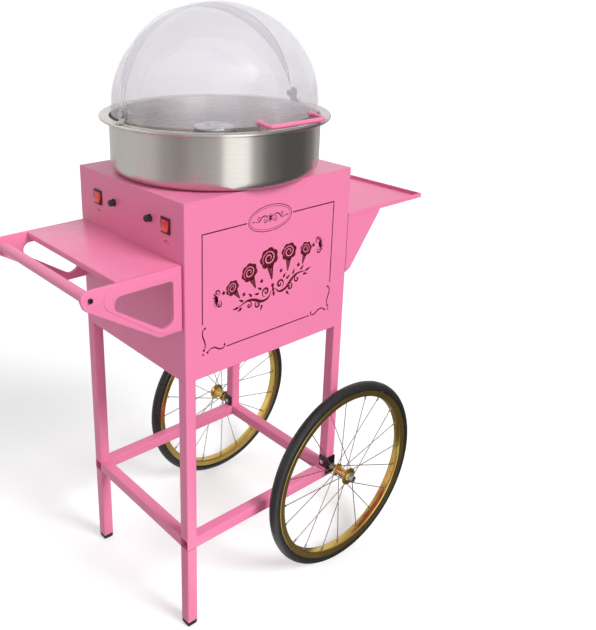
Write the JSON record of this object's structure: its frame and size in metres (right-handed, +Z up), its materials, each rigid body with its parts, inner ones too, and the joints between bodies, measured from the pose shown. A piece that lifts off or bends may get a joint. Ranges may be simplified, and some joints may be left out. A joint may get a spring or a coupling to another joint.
{
  "type": "cotton candy machine",
  "caption": "Wheeled cotton candy cart: sheet cabinet on a tube frame with tray, push handle, shelf, spoked wheels, floss bowl, roll-top dome and spinner head.",
  "frame": {"origin": "on the floor, at the middle of the cart's footprint", "axes": "+X along the decorated front from the handle end to the wheel end, +Y from the front to the back, +Z up"},
  "size_m": [0.909, 0.53, 1.31],
  "materials": {
    "pink_paint": "gloss pink powder coat",
    "brushed_steel": "spun and brushed",
    "zinc_steel": "bright zinc plate",
    "gold_plate": "polished gold plate",
    "tyre_rubber": "moulded rubber",
    "foot_rubber": "moulded rubber",
    "black_plastic": "satin",
    "red_plastic": "gloss",
    "clear_plastic": "clear, faintly lilac",
    "dark_steel": "satin black"
  },
  "bodies": {
    "cart": {"rail_front": "pink_paint", "rail_rear": "pink_paint", "rail_left": "pink_paint", "rail_right": "pink_paint", "post_front_left": "pink_paint", "post_front_right": "pink_paint", "post_rear_left": "pink_paint", "post_rear_right": "pink_paint", "leg_front": "pink_paint", "leg_rear": "pink_paint", "cabinet_wrap": "pink_paint", "cabinet_deck": "pink_paint", "cabinet_floor": "pink_paint", "work_tray": "pink_paint", "handle_arm_front": "pink_paint", "handle_arm_rear": "pink_paint", "handle_tube": "pink_paint", "end_shelf": "pink_paint", "shelf_gusset_front": "pink_paint", "shelf_gusset_rear": "pink_paint", "foot_front": "foot_rubber", "foot_rear": "foot_rubber", "power_inlet": "black_plastic", "switch_bezel_front": "black_plastic", "switch_bezel_rear": "black_plastic", "fuse_body_front": "black_plastic", "fuse_body_rear": "black_plastic", "handle_screw_front": "zinc_steel", "handle_screw_rear": "zinc_steel", "axle_nut_front": "zinc_steel", "axle_nut_rear": "zinc_steel", "bracket_bolt_front": "zinc_steel", "bracket_bolt_rear": "zinc_steel", "axle_front": "dark_steel", "axle_rear": "dark_steel", "axle_bracket_front": "dark_steel", "axle_bracket_rear": "dark_steel", "motor": "dark_steel"},
    "front_wheel": {"tyre_front": "tyre_rubber", "rim_front": "gold_plate", "hub_front": "gold_plate"},
    "rear_wheel": {"tyre_rear": "tyre_rubber", "rim_rear": "gold_plate", "hub_rear": "gold_plate"},
    "spinner": {"drive_shaft": "zinc_steel", "spinner_base": "brushed_steel", "spinner_band": "brushed_steel", "spinner_lid": "brushed_steel"},
    "bowl": {"bowl": "brushed_steel", "dome_rear": "clear_plastic", "dome_bracket_left": "brushed_steel", "dome_bracket_right": "brushed_steel", "dome_pivot_left": "zinc_steel", "dome_pivot_right": "zinc_steel"},
    "dome_lid": {"dome_front": "clear_plastic", "dome_handle": "pink_paint"},
    "front_rocker": {"switch_rocker_front": "red_plastic"},
    "rear_rocker": {"switch_rocker_rear": "red_plastic"},
    "front_fuse_cap": {"fuse_cap_front": "black_plastic"},
    "rear_fuse_cap": {"fuse_cap_rear": "black_plastic"}
  },
  "joints": [
    {"name": "front_wheel_spin", "type": "hinge", "parent": "cart", "child": "front_wheel", "pos_m": [0.1898, -0.231, 0.233], "axis": [0, 1, 0], "continuous": true},
    {"name": "rear_wheel_spin", "type": "hinge", "parent": "cart", "child": "rear_wheel", "pos_m": [0.1898, 0.231, 0.233], "axis": [0, 1, 0], "continuous": true},
    {"name": "spinner_spin", "type": "hinge", "parent": "cart", "child": "spinner", "pos_m": [-0.019, 0, 1.04], "axis": [0, 0, 1], "continuous": true},
    {"name": "bowl_lift", "type": "slide", "parent": "cart", "child": "bowl", "axis": [0, 0, 1], "range_m": [0, 0.12]},
    {"name": "dome_open", "type": "hinge", "parent": "bowl", "child": "dome_lid", "pos_m": [-0.019, 0, 1.106], "axis": [-1, 0, 0], "range_deg": [0, 75]},
    {"name": "front_rocker_press", "type": "hinge", "parent": "cart", "child": "front_rocker", "pos_m": [-0.2385, -0.132, 0.916], "axis": [0, -1, 0], "range_deg": [0, 16]},
    {"name": "rear_rocker_press", "type": "hinge", "parent": "cart", "child": "rear_rocker", "pos_m": [-0.2385, 0.113, 0.916], "axis": [0, -1, 0], "range_deg": [0, 16]},
    {"name": "front_fuse_cap_turn", "type": "hinge", "parent": "cart", "child": "front_fuse_cap", "pos_m": [-0.2405, -0.079, 0.918], "axis": [1, 0, 0], "range_deg": [0, 90]},
    {"name": "rear_fuse_cap_turn", "type": "hinge", "parent": "cart", "child": "rear_fuse_cap", "pos_m": [-0.2405, 0.051, 0.918], "axis": [1, 0, 0], "range_deg": [0, 90]}
  ]
}
